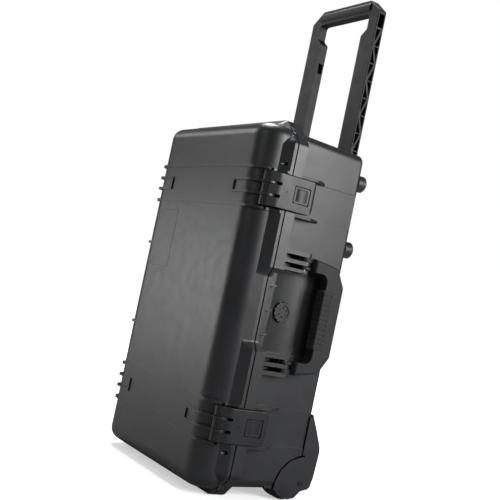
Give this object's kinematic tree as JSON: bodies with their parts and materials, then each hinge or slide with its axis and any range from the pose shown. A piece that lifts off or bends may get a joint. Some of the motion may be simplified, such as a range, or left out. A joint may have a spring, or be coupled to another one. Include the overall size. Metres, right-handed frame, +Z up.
{
  "type": "drone carrying case",
  "caption": "Upright hard-shell rolling case for a drone, with a hinged lid, two push-button latches, a folding side handle, a pull handle and foam pockets.",
  "frame": {"origin": "on the floor under the middle of the standing case's bounding box", "axes": "+Z up along the case's length, towards the pull handle; -Y towards the lid's face; +X towards the latches and the side handle"},
  "size_m": [0.359, 0.2232, 0.801],
  "materials": {
    "shell_plastic": "fine moulded texture, satin black",
    "latch_plastic": "smooth moulded black plastic",
    "handle_plastic": "glass-filled moulded plastic, satin black",
    "grip_rubber": "ribbed soft rubber",
    "seal_rubber": "smooth rubber seal",
    "pin_steel": "plain turned steel",
    "screw_steel": "blackened steel",
    "bearing_steel": "ground steel",
    "tyre_rubber": "moulded polyurethane tread",
    "plate_finish": "blank satin label plate",
    "valve_membrane": "white vent membrane",
    "foam": "charcoal closed-cell foam"
  },
  "bodies": {
    "base": {"base_shell": "shell_plastic", "hinge_pins": "pin_steel", "handle_pins": "pin_steel", "valve_body": "latch_plastic", "valve_cap": "latch_plastic", "valve_seal": "seal_rubber", "valve_membrane": "valve_membrane", "valve_nut": "latch_plastic", "trolley_housing": "shell_plastic", "housing_screws": "screw_steel", "trolley_catch_left": "latch_plastic", "trolley_catch_right": "latch_plastic", "wheel_pod_left": "shell_plastic", "wheel_pod_right": "shell_plastic", "wheel_axle_left": "pin_steel", "wheel_axle_right": "pin_steel", "pod_screws": "screw_steel", "foot_upper_left": "shell_plastic", "foot_upper_right": "shell_plastic", "foot_lower_left": "shell_plastic", "foot_lower_right": "shell_plastic", "foot_screws": "screw_steel", "base_foam": "foam", "base_pad": "foam"},
    "lid": {"lid_shell": "shell_plastic", "blank_plate": "plate_finish", "lid_seal": "seal_rubber", "latch_pins": "pin_steel", "lid_foam": "foam"},
    "latch_upper": {"latch_upper": "latch_plastic", "latch_spring_upper": "screw_steel"},
    "latch_lower": {"latch_lower": "latch_plastic", "latch_spring_lower": "screw_steel"},
    "button_upper": {"latch_button_upper": "latch_plastic"},
    "button_lower": {"latch_button_lower": "latch_plastic"},
    "carry_handle": {"carry_handle": "handle_plastic", "handle_grip": "grip_rubber"},
    "trolley": {"trolley_handle": "handle_plastic"},
    "wheel_left": {"wheel_tyre_left": "tyre_rubber", "wheel_hub_left": "latch_plastic", "wheel_bearings_left": "bearing_steel"},
    "wheel_right": {"wheel_tyre_right": "tyre_rubber", "wheel_hub_right": "latch_plastic", "wheel_bearings_right": "bearing_steel"}
  },
  "joints": [
    {"name": "lid_hinge", "type": "hinge", "parent": "base", "child": "lid", "pos_m": [-0.1718, -0.05835, 0.2755], "axis": [0, 0, -1], "range_deg": [0, 105]},
    {"name": "latch_upper_pivot", "type": "hinge", "parent": "lid", "child": "latch_upper", "pos_m": [0.158, -0.08885, 0.444], "axis": [0, 0, -1], "range_deg": [0, 110]},
    {"name": "latch_lower_pivot", "type": "hinge", "parent": "lid", "child": "latch_lower", "pos_m": [0.158, -0.08885, 0.107], "axis": [0, 0, -1], "range_deg": [0, 110]},
    {"name": "button_upper_press", "type": "slide", "parent": "latch_upper", "child": "button_upper", "axis": [-1, 0, 0], "range_m": [0, 0.0015], "stiffness_N_per_m": 800, "springref_m": -0.001, "deforming": ["latch_spring_upper"]},
    {"name": "button_lower_press", "type": "slide", "parent": "latch_lower", "child": "button_lower", "axis": [-1, 0, 0], "range_m": [0, 0.0015], "stiffness_N_per_m": 800, "springref_m": -0.001, "deforming": ["latch_spring_lower"]},
    {"name": "carry_handle_fold", "type": "hinge", "parent": "base", "child": "carry_handle", "pos_m": [0.161, -0.00135, 0.2755], "axis": [0, 0, -1], "range_deg": [0, 90]},
    {"name": "trolley_slide", "type": "slide", "parent": "base", "child": "trolley", "axis": [0, 0, 1], "range_m": [-0.245, 0]},
    {"name": "wheel_left_spin", "type": "hinge", "parent": "base", "child": "wheel_left", "pos_m": [-0.129, 0.05965, 0.034], "axis": [1, 0, 0], "continuous": true},
    {"name": "wheel_right_spin", "type": "hinge", "parent": "base", "child": "wheel_right", "pos_m": [0.129, 0.05965, 0.034], "axis": [1, 0, 0], "continuous": true}
  ]
}
